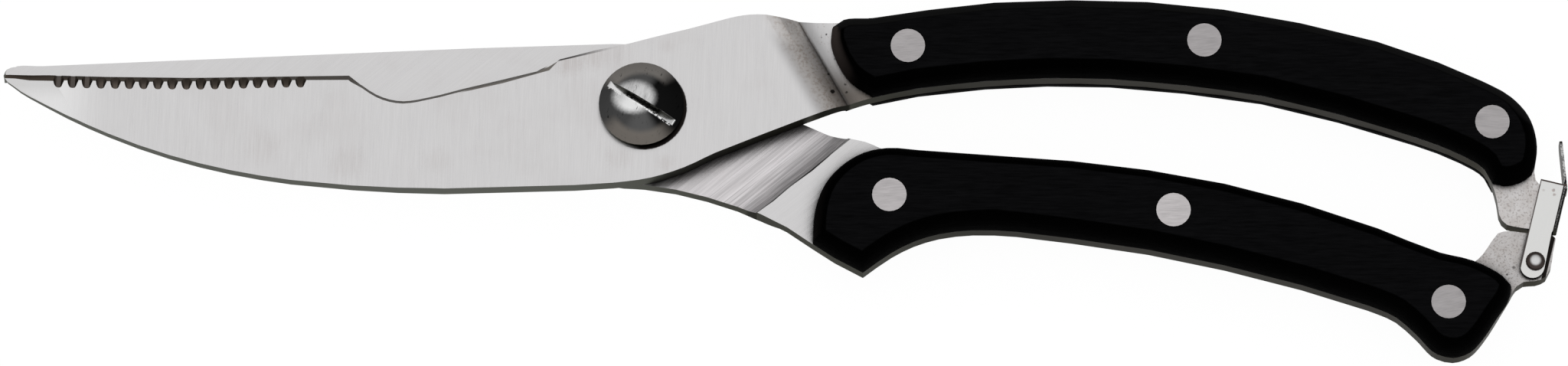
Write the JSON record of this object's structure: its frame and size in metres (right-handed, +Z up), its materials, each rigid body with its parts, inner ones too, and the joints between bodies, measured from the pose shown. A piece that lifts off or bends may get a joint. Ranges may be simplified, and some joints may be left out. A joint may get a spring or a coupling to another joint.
{
  "type": "game shears",
  "caption": "Game shears with riveted black grips, curved blades with a serrated edge and a bone notch, a slotted pivot screw and a latch that holds the handles shut.",
  "frame": {"origin": "middle of the bounding box, on the plane that the backs of the grips rest on", "axes": "+X from the blades towards the handles, +Y across towards the upper handle, +Z up out of the screw head"},
  "size_m": [0.2504, 0.0586, 0.0138],
  "materials": {
    "rear_blade": "forged stainless steel, brushed and satin polished",
    "lower_grip_front": "black moulded plastic with a fine grain, satin",
    "lower_grip_back": "black moulded plastic with a fine grain, satin",
    "rivet_lower_front_front_half": "satin, ground flush with the grip",
    "rivet_lower_front_back_half": "satin, ground flush with the grip",
    "rivet_lower_middle_front_half": "satin, ground flush with the grip",
    "rivet_lower_middle_back_half": "satin, ground flush with the grip",
    "rivet_lower_rear_front_half": "satin, ground flush with the grip",
    "rivet_lower_rear_back_half": "satin, ground flush with the grip",
    "pivot_screw": "polished, dark reflections",
    "pivot_washer": "plain",
    "pivot_nut": "plain",
    "opening_spring": "plain",
    "latch_rivet": "polished dome",
    "front_blade": "forged stainless steel, brushed and satin polished",
    "upper_grip_front": "black moulded plastic with a fine grain, satin",
    "upper_grip_back": "black moulded plastic with a fine grain, satin",
    "rivet_upper_front_front_half": "satin, ground flush with the grip",
    "rivet_upper_front_back_half": "satin, ground flush with the grip",
    "rivet_upper_middle_front_half": "satin, ground flush with the grip",
    "rivet_upper_middle_back_half": "satin, ground flush with the grip",
    "rivet_upper_rear_front_half": "satin, ground flush with the grip",
    "rivet_upper_rear_back_half": "satin, ground flush with the grip",
    "latch_stirrup": "satin sheet steel"
  },
  "bodies": {
    "lower_half": {"rear_blade": "rear_blade", "lower_grip_front": "lower_grip_front", "lower_grip_back": "lower_grip_back", "rivet_lower_front_front_half": "rivet_lower_front_front_half", "rivet_lower_front_back_half": "rivet_lower_front_back_half", "rivet_lower_middle_front_half": "rivet_lower_middle_front_half", "rivet_lower_middle_back_half": "rivet_lower_middle_back_half", "rivet_lower_rear_front_half": "rivet_lower_rear_front_half", "rivet_lower_rear_back_half": "rivet_lower_rear_back_half", "pivot_screw": "pivot_screw", "pivot_washer": "pivot_washer", "pivot_nut": "pivot_nut", "opening_spring": "opening_spring", "latch_rivet": "latch_rivet"},
    "upper_half": {"front_blade": "front_blade", "upper_grip_front": "upper_grip_front", "upper_grip_back": "upper_grip_back", "rivet_upper_front_front_half": "rivet_upper_front_front_half", "rivet_upper_front_back_half": "rivet_upper_front_back_half", "rivet_upper_middle_front_half": "rivet_upper_middle_front_half", "rivet_upper_middle_back_half": "rivet_upper_middle_back_half", "rivet_upper_rear_front_half": "rivet_upper_rear_front_half", "rivet_upper_rear_back_half": "rivet_upper_rear_back_half"},
    "latch": {"latch_stirrup": "latch_stirrup"}
  },
  "joints": [
    {"name": "blade_pivot", "type": "hinge", "parent": "lower_half", "child": "upper_half", "pos_m": [-0.02283, 0.0117, 0.0069], "axis": [0, 0, 1], "range_deg": [0, 38], "deforming": ["opening_spring"]},
    {"name": "latch_swing", "type": "hinge", "parent": "lower_half", "child": "latch", "pos_m": [0.11987, -0.0136, 0.0069], "axis": [0, 0, 1], "range_deg": [-115, 0]}
  ]
}
